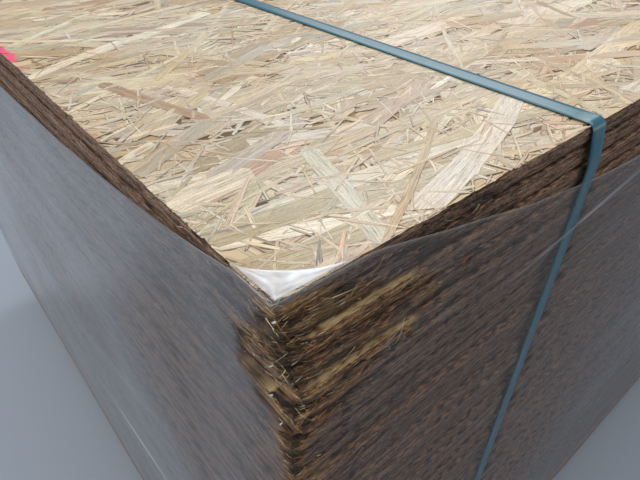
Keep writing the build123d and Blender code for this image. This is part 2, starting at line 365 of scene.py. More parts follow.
def panel_skin(number, finest, coarsest, growth, rows):
    """One panel as a closed skin: rings round the underside, the sawn side and the face.

    Each ring is the plan outline drawn in by the recess of its height: saw waviness, thin strand
    layers, voids and broken arrises. At a corner both sides take the corner's own loss, fading by
    a bell curve, and the run along the side is drawn in by the same amount."""
    corners, base = outlines[number - 1], bases[number - 1]
    side, start, end, step = rim(corners, finest, coarsest, growth)
    ways = np.roll(corners, -1, 0) - corners
    lengths = np.linalg.norm(ways, axis=1)
    ways = ways / lengths[:, None]
    inward = np.stack([-ways[:, 1], ways[:, 0]], -1)
    run = start + np.concatenate([[0], np.cumsum(lengths)[:-1]])[side]
    nearest = np.minimum(start, end)
    heights = panel_thickness * (0.5 - 0.5 * np.cos(math.pi * np.linspace(0, 1, rows)))
    up, s = np.meshgrid(heights, run, indexing="ij")
    level = up + base
    fine = np.clip((2 * mm / step) ** 2, 0.06, 1)
    gap = np.clip((noise(s / (8 * mm), level / (1.5 * mm), 21) - 0.70) / 0.2, 0, 1)
    loss = saw_waviness * noise(s / 0.09, level / (5 * mm), 22) * 0.8
    loss = loss + fine * (0.35 * mm * noise(s / (14 * mm), level / (1.1 * mm), 23) + void_depth * gap)
    # the upper arrises of the panels that stand proud are broken less than the others
    crisp = 0.25 if number in proud_panels else 1.0
    near_arris = np.exp(-(up / (0.9 * mm)) ** 2)
    near_arris = near_arris + crisp * np.exp(-((panel_thickness - up) / (0.9 * mm)) ** 2)
    loss = loss + near_arris * arris_loss(side, s, number) * (0.2 + 0.8 * fine)
    # the lower arris is drawn in further, so that a dark joint shows between two panels
    torn = 0.7 + 0.8 * noise(s / (22 * mm), number * 1.3, 27)
    torn = torn * (1 + 0.9 * np.exp(-nearest / (45 * mm)))
    loss = loss + lower_tear * torn * np.exp(-up / (1.8 * mm)) * (number < len(outlines))
    # the shy panels are sawn back near the corner, which bares the rims of the proud ones there
    shy = np.exp(-(start / shy_run[0]) ** 4) * (side == 0)
    shy = shy + np.exp(-(end / shy_run[1]) ** 4) * (side == 3)
    if number in shy_panels:
        uneven = 0.8 * noise(s / (24 * mm), 0.5 * number, 28)
        uneven = uneven + 0.7 * noise(s / (4 * mm), up / (4 * mm), 29)
        loss = loss + rim_bared * shy * (0.25 + uneven)
    if number == 1:
        # the straps have crushed the top panel's long arrises to a radius
        high = np.clip(up - panel_thickness + crush_radius, 0, crush_radius)
        bite = crush_radius - np.sqrt(crush_radius ** 2 - high ** 2)
        off = np.abs((corners[side, 0] + ways[side, 0] * start)[:, None] - strap_stations).min(1)
        crushed = np.clip((crush_half + 4 * mm - off) / (4 * mm), 0, 1) * (side % 2 == 0)
        loss = np.maximum(loss, bite * crushed)
    # each corner's own loss, by height
    rise = up[:, :1]
    rugged = noise(np.arange(4)[None] * 3.7 + number, level[:, :1] / (2.2 * mm), 24)
    corner_loss = (0.4 + 1.2 * rugged) * mm
    rounding = 0.8 * crisp ** 2 * np.exp((rise - panel_thickness) / (1.8 * mm))
    rounding = np.exp(-rise / (2.4 * mm)) + rounding
    corner_loss = corner_loss + corner_wear * rounding * (1.0 if number > 1 else 0.5)
    if number == chipped_panel:
        corner_loss[:, 0] += chip_loss * np.clip(heights / (5 * mm) - 0.8, 0, 1)
    if number in shy_panels:
        corner_loss[:, 0] += 1.2 * mm
    c0, c1 = corner_loss[:, side], corner_loss[:, (side + 1) % 4]
    w0 = np.exp(-(start / (1.2 * c0 + 1.5 * mm)) ** 2)
    w1 = np.exp(-(end / (1.2 * c1 + 1.5 * mm)) ** 2)
    loss = loss * (1 - w0 - w1) + c0 * w0 + c1 * w1
    shift = c0 * np.exp(-start / (2 * c0 + mm)) - c1 * np.exp(-end / (2 * c1 + mm))
    plan = corners[side] + ways[side] * start[:, None] + ways[side] * shift[..., None]
    rings = np.concatenate([plan + inward[side] * loss[..., None], level[..., None]], -1)
    # the ledges that a ring's neighbours may leave bare, drawn straight in from the arrises
    ledge = (corners.min(0) + ledge_shown, corners.max(0) - ledge_shown)
    under, over = rings[0].copy(), rings[-1].copy()
    under[:, :2], over[:, :2] = np.clip(under[:, :2], *ledge), np.clip(over[:, :2], *ledge)
    if number == 1:
        # the top face lies lower, to make room for the modelled strands
        rings[-1, :, 2] -= face_sunk / 2
        over[:, :2] = np.clip(rings[-1, :, :2], corners.min(0) + face_lip, corners.max(0) - face_lip)
        over[:, 2] -= face_sunk
    points = np.concatenate([under[None], rings, over[None]])
    total, columns = points.shape[:2]
    caps = [np.arange(columns)[::-1], (total - 1) * columns + np.arange(columns)]
    place = np.stack([s + 0.37 * number, level, loss], -1)
    cling = film_touch(np.where(end < start, (side + 2) % 4, side), nearest, pile_top - level)
    place, cling = (np.concatenate([field[:1], field, field[-1:]]) for field in (place, cling))
    # the lowest edges take part of the clinging film's honey colour and gloss
    cling = np.maximum(cling, 0.55 * (number > len(outlines) - 3))
    # where this panel stands proud of the one above, its rim shows pale; elsewhere its rim in the
    # narrow joint gets painted shade
    bare = np.zeros((total, columns))
    if number > 1:
        proud = -((points[-2, :, :2] - outlines[number - 2][side]) * inward[side]).sum(-1)
        proud = proud + rim_bared * shy * (number in proud_panels)
        worn = np.clip(0.3 + 0.9 * noise(run / 0.045, number, 25), 0, 1)
        pale_share = 0.25 + 0.75 * np.exp(-(nearest / rim_pale_run) ** 2)
        pale_share = (1.0 if number <= 6 else 0.3) * pale_share
        pale_share = pale_share * np.clip((proud - 0.4 * mm) / (0.9 * mm), 0, 1)
        bare[-2:] = pale_share * worn * (0.3 + 0.7 * cling[-2:])
    else:
        bare[-2:], cling[-2:] = 1, 0
    if number == len(outlines):
        bare[:2] = 1
    marks = {"edge": place.reshape(-1, 3), "touch": cling.ravel(), "bare": bare.ravel(),
             "on_end": np.tile(side % 2, total)}
    return points.reshape(-1, 3), grid_quads(total, columns, True), caps, columns, marks


def lay_panels(name, node, numbers, finest, coarsest, growth, rows):
    """One piece of the scene from the panels of one CAD node: sawn edges, with a ledge of the
    board's face below and above."""
    skins = [panel_skin(number, finest, coarsest, growth, rows) for number in numbers]
    points, quads, caps, columns, marks = zip(*skins)
    firsts = np.cumsum([0] + [len(part) for part in points])
    caps = [cap + first for pair, first in zip(caps, firsts) for cap in pair]
    quads = np.concatenate([part + first for part, first in zip(quads, firsts)])
    kinds = [np.repeat([1] + [0] * (rows - 1) + [1], width) for width in columns]
    kinds = np.concatenate(kinds + [[1] * len(caps)])
    make_piece(name, np.concatenate(points), quads, "osb", [board_edge, board_face], caps=caps,
               stands_for=[node], kinds=kinds, smooth=kinds == 0,
               **{key: np.concatenate([part[key] for part in marks]) for key in marks[0]})


for node in nodes[:10]:
    lay_panels(f"{node}_board", node, [int(node[-2:])], 0.9 * mm, 16 * mm, 1 / 45, 9)
for first, node in zip(range(11, 67, 8), nodes[10:]):
    lay_panels(f"{node}_boards", node, range(first, first + 8), 2.5 * mm, 50 * mm, 1 / 22, 5)

# The saw leaves torn pine fibres standing on the cut edges, thin curved hairs up to 14 mm long and
# thickest round the near corner. Each is a prism with three sides, rooted in the edge.
fibre_count, fibre_half = 1100, 0.09 * mm
fibre_shortest, fibre_length, fibre_longest = 1.2 * mm, 3.6 * mm, 14 * mm
fibre_corner_share, fibre_corner_reach, fibre_deepest = 0.62, 34 * mm, 13
fibre_rooted = 0.9 * mm
fibre_tones = ["8E5C2E", "B98546", "DDB877", "F0DDAE"]


def tubes(lines, spokes, slims, ways):
    """Closed tubes round lines of points: the points of each ring stand out from the line by the
    tube's spokes times its slimness there. Those whose spokes run clockwise round their way are
    turned inside out, so that all faces look outward."""
    steps, sides = lines.shape[1], spokes.shape[1]
    first, ring = np.arange(len(lines))[:, None] * steps * sides, np.arange(sides)
    flip = (np.cross(spokes[:, 0], spokes[:, 1]) * ways).sum(1, keepdims=True) < 0
    quads = first[..., None] + grid_quads(steps, sides, True)
    quads = np.where(flip[..., None], quads[..., ::-1], quads).reshape(-1, 4)
    roots, tips = first + np.where(flip, ring, ring[::-1]), first + np.where(flip, ring[::-1], ring)
    points = lines[:, :, None] + spokes[:, None] * slims[..., None, None]
    return points, quads, [*roots, *(tips + (steps - 1) * sides)]


# torn pine fibre: straw to brown, matt, and a touch paler than the sawn edge behind it
fibre_wood, add = begin("torn_pine_fibre")
own = add("Attribute", attribute_name="tone").outputs["Color"]
add("OutputMaterial", [add("BsdfPrincipled", {"Base Color": own, "Roughness": 0.6})])

draw = np.random.default_rng(61)
one = (fibre_count, 1)
on_long = draw.random(one) < 0.6
crowded = draw.random(one) < fibre_corner_share
along = np.where(crowded, draw.exponential(fibre_corner_reach, one) + 1.5 * mm,
                 draw.uniform(0.02, 0.5, one))
picked = np.where(crowded, draw.exponential(3.4, one), draw.exponential(1.1, one))[:, 0]
picked = np.minimum(picked, fibre_deepest).astype(int)
way = np.where(on_long, (1.0, 0.0, 0.0), (0.0, 1.0, 0.0))
out = np.where(on_long, (0.0, -1.0, 0.0), (-1.0, 0.0, 0.0))
lift = np.array([0.0, 0.0, 1.0])
level = bases[picked, None] + panel_thickness * draw.beta(0.7, 0.7, one)
root = np.concatenate([outlines[picked, 0], level], 1) + way * along - out * fibre_rooted
lean, sweep = draw.normal(0, 0.42, one), draw.choice([-1.0, 1.0], one)
long = np.clip(fibre_length * np.exp(draw.normal(0, 0.55, one)), fibre_shortest, fibre_longest)
aim = way * np.cos(lean) * sweep + lift * np.sin(lean) + out * draw.uniform(0.12, 0.3, one)
curl = lift * draw.normal(0, 0.16, one) - out * draw.uniform(0.0, 0.2, one)
t = np.array([0, 0.35, 0.7, 1.0])[:, None]
line = root[:, None] + long[:, None] * (aim[:, None] * t + curl[:, None] * t * t)
line[..., 2] = np.minimum(line[..., 2], pile_top - 0.2 * mm)
spoke = np.stack([out * math.cos(turn) + lift * math.sin(turn)
                  for turn in (0, math.tau / 3, 2 * math.tau / 3)], 1)
slim = fibre_half * np.exp(draw.normal(0, 0.4, one)) * (1 - 0.8 * t[:, 0])
points, quads, caps = tubes(line, spoke, slim, aim)
points[..., 2] = np.minimum(points[..., 2], pile_top)
tone = np.array([linear(code) for code in fibre_tones])[draw.integers(0, 4, fibre_count)]
make_piece("torn_edge_fibres", points, quads, "osb", [fibre_wood], caps=caps, smooth=False,
           tone=np.repeat(tone, 12, 0))

# The face of the top panel is laid with loose pine strands before pressing: knife-cut slivers, most
# of them along the panel, with short fines between, pressed flat so that only their rims stand up.
strand_thickness, strand_splay = 0.38 * mm, 0.42 * mm
strand_tones = ["E3D5BA", "EEE6D4", "D8C5A2", "C9AE8A", "DBC1AA", "C6A589", "BDBAB0"]
strand_shares = [0.35, 0.20, 0.19, 0.10, 0.09, 0.04, 0.03]
glue_tan = "F4E2CB"
mark_start, mark_end, mark_width, mark_pink = 262 * mm, 430 * mm, 5.5 * mm, "F0577F"
top_box = np.array([outlines[0].min(0), outlines[0].max(0)])

# pressed pine strand: straw to tan with fine grain lines along it, broader latewood bands, small
# dark splits, specks, and a waxed, nearly matt face; a streak of fluorescent crayon on the near end
pine, add = begin("pressed_pine_strand")
grain = add("Attribute", attribute_name="grain").outputs["Vector"]
own = add("Attribute", attribute_name="tone").outputs["Color"]
place = add("TexCoord").outputs["Object"]
shade, marks = 1.0, []
# run, width, detail and the darkest and lightest shade of grain lines, bands and splits
for run, width, detail, low, high, dark, light in ((13 * mm, 0.55 * mm, 3.0, 0.28, 0.72, 0.64, 1.16),
                                                   (55 * mm, 2.6 * mm, 2.0, 0.32, 0.66, 0.80, 1.08),
                                                   (11 * mm, 0.5 * mm, 2.0, 0.33, 0.40, 0.42, 1.0)):
    laid = add("Mapping", {0: grain, "Scale": (1 / run, 1 / width, 40), "Location": (run, width, 0)})
    marks.append(add("TexNoise", {0: laid, "Scale": 1.0, "Detail": detail, "Roughness": 0.6}))
    drawn = add("MapRange", [marks[-1], low, high, dark, light])
    shade = add("Math", [shade, drawn], operation="MULTIPLY")
# painted shade: each strand's flanks darken towards their foot, where they meet the strands below
rim_shade = add("Attribute", attribute_name="rim").outputs["Fac"]
specks = add("TexNoise", {0: place, "Scale": 1100.0, "Detail": 2.0})
for source, low, high, dark, light in ((rim_shade, 0.0, 1.0, 1.0, 0.12), (specks, 0.3, 0.7, 0.86, 1.08)):
    drawn = add("MapRange", [source, low, high, dark, light])
    shade = add("Math", [shade, drawn], operation="MULTIPLY")
colour = add("Mix", {0: 1.0, 6: own, 7: shade}, **multiply)
glue = add("TexNoise", {0: place, "Scale": 13.0, "Detail": 2.0})
stained = add("MapRange", [glue, 0.40, 0.64, 0.0, 0.75])
glued = add("Mix", {0: 1.0, 6: colour, 7: glue_tan}, **multiply)
colour = add("Mix", {0: stained, 6: colour, 7: glued}, **blend)
spot = add("SeparateXYZ", [place])
rubbed = add("TexNoise", {0: place, "Scale": 190.0, "Detail": 3.0})
ragged = add("Math", [rubbed, 9 * mm, spot.outputs["X"]], operation="MULTIPLY_ADD")
mark_x, mark_y = top_box[0] + (mark_width, 0)
inside = add("MapRange", [ragged, mark_x + 5 * mm, mark_x + 3 * mm])
begun = add("MapRange", [spot.outputs["Y"], mark_y + mark_start, mark_y + mark_start + 14 * mm])
ended = add("MapRange", [spot.outputs["Y"], mark_y + mark_end, mark_y + mark_end - 9 * mm])
crayon = add("Math", [begun, ended], operation="MULTIPLY")
crayon = add("Math", [crayon, inside], operation="MULTIPLY")
colour = add("Mix", {0: crayon, 6: colour, 7: mark_pink}, **blend)
bump = add("Bump", {"Height": marks[0], "Distance": 0.12 * mm, "Strength": 0.6})
strand = add("BsdfPrincipled", {"Base Color": colour, "Roughness": 0.5, "Specular IOR Level": 0.6,
                                "Normal": bump})
add("OutputMaterial", [strand])


def lay_strands(name, count, low, high, length, width, spread, slices, seed, lowest, highest):
    """Strands strewn over a plan box, as closed prisms of the strand's thickness.

    Each follows a centre line bent to a shallow parabola. Its half width is a share of its own
    width at every slice, less at the two ends, whose cuts are skewed. It is cut off where it
    leaves the panel. Its level is random between lowest and highest, with a slight tilt."""
    draw = np.random.default_rng(seed)
    centre = low + draw.random((count, 2)) * (np.array(high) - low)
    long = np.clip(length * np.exp(draw.normal(0, 0.38, count)), 0.25 * length, 1.8 * length)
    wide = np.clip(width * np.exp(draw.normal(0, 0.42, count)), 0.25 * width, 2.1 * width)
    scatter = np.where(draw.random(count) < 0.24, draw.uniform(-1.5, 1.5, count),
                       draw.normal(0, spread, count))
    # the strands that lie far across the others are narrower
    wide = np.minimum(wide, long * 0.5) * np.where(np.abs(scatter) > 0.55, 0.6, 1.0)
    way = np.stack([np.cos(scatter), np.sin(scatter)], -1)
    cross = np.stack([-way[:, 1], way[:, 0]], -1)
    # the part of each centre line that lies on the panel, by its crossings with the four sides
    with np.errstate(divide="ignore"):
        cuts = (top_box[:, None] - centre) / way
    t_in = np.maximum(cuts.min(0).max(-1), -long / 2)[:, None]
    t_out = np.minimum(cuts.max(0).min(-1), long / 2)[:, None]
    t = np.array({2: [0, 0.5, 1], 3: [0, 0.1, 0.88, 1], 5: [0, 0.05, 0.3, 0.68, 0.94, 1]}[slices])
    along = t_in + (t_out - t_in) * t
    ends = draw.uniform(0.1, 1.0, (2, count))
    share = 1 + draw.normal(0, 0.09, (2, count, slices + 1))
    share[..., [0, -1]] *= ends.T
    skew = draw.normal(0, 0.45, (2, count))
    bend = draw.normal(0, 0.014, (count, 1)) * long[:, None] * (1 - (2 * t - 1) ** 2)
    height = draw.uniform(lowest, highest, count)
    tilt = draw.normal(0, 0.006, count)
    # from here on by strand, right and left flank, top and bottom face, and slice
    wide, height, tilt, number, centre, way, cross = (
        field[:, None, None, None]
        for field in (wide, height, tilt, np.arange(count), centre, way, cross))
    flank, face = np.array([-1, 1])[:, None, None], np.array([0, 1])[:, None]
    half = flank * (wide / 2 * share.transpose(1, 0, 2)[:, :, None] + face * strand_splay)
    reach = np.broadcast_to(along[:, None, None], half.shape).copy()
    reach[..., [0, -1]] += skew.T[:, None, None] * half[..., [0, -1]]
    plan = centre + way * reach[..., None] + cross * (half + bend[:, None, None])[..., None]
    # the outermost strands follow the broken arrises of the top panel
    run = np.linspace(0, 2 * half_length, 4001)
    inset = np.stack([np.interp(plan[..., axis] - top_box[0, axis], run, arris_loss(side, run, 1))
                      for side, axis in ((3, 1), (0, 0))], -1)
    plan = np.clip(plan, top_box[0] + inset, top_box[1] - 0.6 * inset)
    level = pile_top + (height + tilt * half).clip(-1.2 * mm, highest) - face * strand_thickness
    at = np.arange(half.size).reshape(half.shape)
    a, b, c, d = at[:, 0, 0], at[:, 1, 0], at[:, 0, 1], at[:, 1, 1]
    quads = [np.stack(corners, -1).reshape(-1, 4) for corners in (
        (a[:, :-1], a[:, 1:], b[:, 1:], b[:, :-1]), (d[:, :-1], d[:, 1:], c[:, 1:], c[:, :-1]),
        (c[:, :-1], c[:, 1:], a[:, 1:], a[:, :-1]), (b[:, :-1], b[:, 1:], d[:, 1:], d[:, :-1]),
        (a[:, 0], b[:, 0], d[:, 0], c[:, 0]), (c[:, -1], d[:, -1], b[:, -1], a[:, -1]))]
    tones = np.array([linear(code) for code in strand_tones])
    tone = tones[draw.choice(len(tones), count, p=strand_shares)]
    tone += (np.array(strand_shares) @ tones - tone) * draw.beta(1.2, 2.6, (count, 1))
    tone[:, :3] *= draw.normal(0.955, 0.115, (count, 1)) * (1 + draw.normal(0, 0.02, (count, 3)))
    # the rim mark, 1 on each strand's lower face, carries the painted shade down its flanks
    make_piece(name, np.concatenate([plan, level[..., None]], -1), np.concatenate(quads), "osb", [pine],
               smooth=False, grain=np.stack(np.broadcast_arrays(along[:, None, None], half, number), -1),
               tone=np.repeat(np.clip(tone, 0, 1), 4 * (slices + 1), 0),
               rim=np.broadcast_to(face, half.shape))


corner, end = top_box
near_field, overlap = 0.80, 0.02
beside = (corner[0] + near_field, end[1])
for name, count, low, high, length, width, spread, slices, seed, lowest, highest in (
        ("near_coarse", 2100, corner, corner + near_field, 88, 9.4, 0.40, 5, 7, -0.56, -0.04),
        ("near_fine", 3900, corner, corner + near_field, 30, 2.6, 0.58, 2, 2, -0.56, 0.0),
        ("corner_fine", 1500, corner, corner + (0.30, 0.28), 17, 1.8, 0.8, 2, 5, -0.30, 0.03),
        ("far_along", 3300, corner + (near_field - overlap, 0), end, 84, 13, 0.4, 3, 3, -0.45, 0.0),
        ("far_side", 900, corner + (0, near_field - overlap), beside, 84, 13, 0.4, 3, 4, -0.45, 0.0)):
    lay_strands(f"strands_{name}", count, low, high, length * mm, width * mm, spread, slices, seed,
                lowest * mm, highest * mm)

# The straps are three bands of teal polyester, 13 x 0.8 mm, drawn tight over the top panel and under
# a bearer and friction-welded end to end. Their faces carry a fine waffle from the embossing roll.
strap_thickness, strap_gap = 0.8 * mm, 0.3 * mm
strap_bend, strap_bow = 4.3 * mm, 60 * mm
strap_run_out, strap_lead = 22.1 * mm, 20 * mm
waffle_pitch = 1.6 * mm
strap_teal, strap_pale = "1C6476", "9DB9BE"

# drawn and embossed polyester: a deep, clean teal with a soft sheen along the band, and paler where
# the bend over an arris has stretched it
polyester, add = begin("embossed_polyester_band")
band = add("Attribute", attribute_name="band").outputs["Vector"]
waffle = []
for turn in (math.pi / 4, -math.pi / 4):
    laid = add("Mapping", {0: band, "Rotation": (0, 0, turn)})
    lines = add("TexWave", {0: laid, "Scale": wave_scale / waffle_pitch}, wave_profile="SIN")
    waffle.append(lines.outputs["Fac"])
relief = add("Math", waffle, operation="MULTIPLY")
laid = add("Mapping", {0: band, "Scale": (14, 900, 1)})
streaks = add("TexNoise", {0: laid, "Scale": 1.0, "Detail": 2.0})
strain = add("Attribute", attribute_name="strain").outputs["Fac"]
teal = add("Mix", {0: strain, 6: strap_teal, 7: strap_pale}, **blend)
shade = add("MapRange", [streaks, 0.3, 0.7, 0.9, 1.08])
colour = add("Mix", {0: 1.0, 6: teal, 7: shade}, **multiply)
bump = add("Bump", {"Height": relief, "Distance": 0.05 * mm, "Strength": 0.35})
plastic = add("BsdfPrincipled", {"Base Color": colour, "Roughness": 0.3, "Specular IOR Level": 0.8,
                                 "Normal": bump})
add("OutputMaterial", [plastic])


def rounded_loop(corners, radii, step, arc_step):
    """A closed plane path: straight runs joined by tangent arcs, with points at the given steps."""
    corners = np.array(corners, float)
    arcs = []
    befores, afters = np.roll(corners, 1, 0), np.roll(corners, -1, 0)
    for here, before, after, radius in zip(corners, befores, afters, radii):
        back, on = (way / np.linalg.norm(way) for way in (before - here, after - here))
        opening = math.acos(np.clip(back @ on, -1, 1))
        reach, turn = radius / math.tan(opening / 2), math.pi - opening
        middle = here + (back + on) / np.linalg.norm(back + on) * radius / math.sin(opening / 2)
        first, last = here + back * reach - middle, here + on * reach - middle
        t = np.linspace(0, 1, max(4, math.ceil(turn * radius / arc_step)) + 1)[:, None]
        arcs.append(middle + (np.sin((1 - t) * turn) * first + np.sin(t * turn) * last) / math.sin(turn))
    path = []
    for arc, after in zip(arcs, arcs[1:] + arcs[:1]):
        count = max(2, math.ceil(np.linalg.norm(after[0] - arc[-1]) / step) + 1)
        t = np.linspace(0, 1, count)[1:-1, None]
        path += [arc, arc[-1] * (1 - t) + after[0] * t]
    return np.concatenate(path)


for place in places:
    low, high = (np.array(corner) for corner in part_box(f"strap_{place}"))
    station, w, mid = (low[0] + high[0]) / 2, (high[0] - low[0]) / 2, strap_thickness / 2
    bearer_low, bearer_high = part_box(f"bearer_{place}")
    off, top, foot = strap_gap + mid, high[2] - mid, low[2] + mid
    near, far = low[1] + mid, high[1] - mid
    upper, lower = high[2] - strap_run_out, bearer_high[2] + strap_lead
    loop = rounded_loop([(top_box[0, 1] - off, top), (near, upper), (near, lower),
                         (bearer_low[1] - off, foot), (bearer_high[1] + off, foot),
                         (far, lower), (far, upper), (top_box[1, 1] + off, top)],
                        [strap_bend + mid, strap_bow, strap_bow, strap_bend + mid] * 2, 9 * mm, 0.5 * mm)
    way = np.roll(loop, -1, 0) - np.roll(loop, 1, 0)
    way = way / np.linalg.norm(way, axis=1)[:, None]
    out = np.stack([-way[:, 1], way[:, 0]], -1)
    out = out * np.sign((out * (loop - loop.mean(0))).sum())
    travel = np.concatenate([[0], np.cumsum(np.linalg.norm(np.diff(loop, axis=0), axis=1))])[:, None]
    # the band's section: two flat faces and two rounded edges
    k = mid
    section = np.array([(0.5 * k - w, k), (-w / 2, k), (0, k), (w / 2, k), (w - 0.5 * k, k),
                        (w, 0.4 * k), (w, -0.4 * k), (w - 0.5 * k, -k), (0, -k),
                        (0.5 * k - w, -k), (-w, -0.4 * k), (-w, 0.4 * k)])
    # the band is stretched, and a little thicker, where it is bent over the top panel's arrises
    gaps = [np.hypot(loop[:, 0] - y, loop[:, 1] - high[2]) for y in top_box[:, 1]]
    bent = np.exp(-((np.array(gaps) - 3.4 * mm) / (0.8 * mm)) ** 2).max(0)[:, None]
    lift = section[:, 1] + 0.12 * mm * bent
    points = np.empty((len(loop), len(section), 3))
    points[..., 0] = station + section[:, 0]
    points[..., 1:] = loop[:, None] + out[:, None] * lift[..., None]
    make_piece(f"strap_{place}_band", points, grid_quads(*points.shape[:2], True, True), "strap",
               [polyester], stands_for=[f"strap_{place}"], strain=np.repeat(bent * 0.6, len(section)),
               band=np.stack(np.broadcast_arrays(travel, section[:, 0], 0.0), -1))

# The film is clear polyethylene stretch film, several turns wound round the four sides and drawn
# over the top corners. It clings to the upright corners and hangs in a shallow curve between them.
film_foot, film_gap, film_round, film_wall = 40 * mm, 0.35 * mm, 2.2 * mm, 0.08 * mm
film_wave, film_fold, foot_wave, brim_wave = 0.9 * mm, 3.0 * mm, 6 * mm, 1.5 * mm
strap_cover, strap_reach = 0.25 * mm, 0.19  # the film over a strap, and its run from the corner there
# the soft maximum of the film over the panels, on the ends and on the long sides: curve and blur
film_drape = ((3.0, 0.4 * mm), (28.0, 0.05 * mm))
film_sheen, film_white = "827B77", "F8FBFF"
# the upper edge on the long sides and on the ends: length at the corner that stays up, run of the
# fall, its power, and depth
hem = np.array([(40 * mm, 190 * mm, 1.15, 55 * mm), (22 * mm, 222 * mm, 1.0, 48 * mm)])
# painted highlights on the film by the near corner: on the end or the long side, distance from the
# corner, depth, half length and half width in millimetres, slope, and how white they are
film_highlight_streaks = [(True, 355, 235, 300, 30, -0.66, 0.18), (True, 335, 492, 210, 15, -0.18, 0.65),
              (True, 655, 440, 190, 24, -1.15, 0.22), (True, 300, 330, 180, 17, -0.35, 0.20),
              (False, 228, 63, 110, 3.5, 0.12, 0.45), (False, 217, 258, 150, 6, -0.66, 0.12)]
flap_run, flap_hollow, flap_gap = (36 * mm, 26 * mm), 1.41, 0.42 * mm
flap_bend, flap_skirt = 1.2 * mm, 2.2 * mm
turn_columns = 5

# stretched polyethylene: clear and glossy, with a thin grey haze where air lies behind it, milky
# where it is strained over the top corners, which also serves as a painted highlight, and creased
# finely in the direction of winding
film_plastic, add = begin("stretched_polyethylene_film")
flow = add("Attribute", attribute_name="flow").outputs["Vector"]
haze, milky, cling = (add("Attribute", attribute_name=name).outputs["Fac"]
                      for name in ("haze", "milky", "cling"))
laid = add("Mapping", {0: flow, "Scale": (0.7, 0.25, 1)})
streaks = add("TexNoise", {0: laid, "Scale": 1.0, "Detail": 2.0, "Roughness": 0.5},
              noise_dimensions="2D")
laid = add("Mapping", {0: flow, "Scale": (0.9, 3.2, 1)})
fine = add("TexNoise", {0: laid, "Scale": 1.0, "Detail": 3.0}, noise_dimensions="2D")
ridge = add("MapRange", [fine, 0.64, 0.76, 0.0, 0.08])
veil = add("MapRange", [streaks, 0.3, 0.75, 0.75, 1.25])
thick = add("Math", [haze, veil], operation="MULTIPLY")
haze_and_highlight = add("Math", [thick, ridge], operation="ADD", use_clamp=True)
where = add("TexCoord").outputs["Object"]
# painted highlights: soft white streaks added to the haze and whiteness of the film
for on_end, along, depth, half_long, half_wide, slope, strength in film_highlight_streaks:
    way = np.array([0, 1, 0] if on_end else [1, 0, 0])
    middle = (*(np.array(cad_low[:2]) + film_gap + way[:2] * along * mm), pile_top - depth * mm)
    scale = way * half_long * mm + (1 - way) * (0.5, 0.5, half_wide * mm)
    turn = (slope, 0, 0) if on_end else (0, -slope, 0)
    laid = add("Mapping", {0: where, "Location": middle, "Scale": scale, "Rotation": turn},
               vector_type="TEXTURE")
    glow = add("TexGradient", [laid], gradient_type="SPHERICAL").outputs["Fac"]
    haze_and_highlight = add("Math", [glow, strength, haze_and_highlight], operation="MULTIPLY_ADD", use_clamp=True)
    milky = add("Math", [glow, 1.2 * strength, milky], operation="MULTIPLY_ADD", use_clamp=True)
outer = add("Math", [1.0, add("NewGeometry").outputs["Backfacing"]], operation="SUBTRACT")
height = add("Math", [fine, 0.04, streaks], operation="MULTIPLY_ADD")
bump = add("Bump", {"Height": height, "Distance": 2.5 * mm, "Strength": 0.5})
mirrored = add("Fresnel", {"IOR": 1.5, "Normal": bump})
# light crosses the film's two faces, and loses a little more than one reflection
once = add("Math", [1.0, mirrored], operation="SUBTRACT")
through = add("Math", [once, 1.5], operation="POWER")
lost = add("Math", [1.0, through], operation="SUBTRACT")
loose = add("MapRange", [cling, 0.0, 1.0, 0.85, 0.05])
shine = add("Math", [lost, loose], operation="MULTIPLY")
clear = add("MapRange", [cling, 0.0, 0.5, 0.88, 1.0])
tint = add("Mix", {0: milky, 6: film_sheen, 7: film_white}, **blend)
matter = add("BsdfPrincipled", {"Base Color": tint, "Roughness": 0.4, "Normal": bump})
mirror = add("BsdfAnisotropic", {"Color": (0.95, 0.95, 0.95, 1.0), "Roughness": 0.15, "Normal": bump})
sheet = add("BsdfTransparent", [clear])
for share, layer in ((haze_and_highlight, matter), (shine, mirror)):
    sheet = add("MixShader", [add("Math", [share, outer], operation="MULTIPLY"), sheet, layer])
add("OutputMaterial", [sheet])


def clung(level, sign, axis, curve, blur):
    """How far out the panels push the film at a height: the furthest panel, less the square of the
    height between it and the film beyond half a panel, times the curve per metre. The soft maximum
    blur * log(sum(exp(reach / blur))) rounds the film over from one panel to the next."""
    reach = (sign * outlines[:, :, axis]).max(1)
    level = level[..., None]
    slack = 13 * mm * np.clip((pile_top - level) / 0.15 - 0.5, 0, 1)
    away = np.maximum(np.abs(level - (bases + panel_thickness / 2)) - panel_thickness / 2 - slack, 0)
    share = (reach - curve * away ** 2) / blur
    top = share.max(-1)
    return blur * (top + np.log(np.exp(share - top[..., None]).sum(-1)))


def hem_drop(side, along):
    """How far the film's upper edge hangs below the top at a distance from the nearest corner."""
    free, run, power, dip = np.moveaxis(hem[side % 2], -1, 0)
    return dip * (1 - np.exp(-(np.maximum(along - free, 0) / run) ** power))


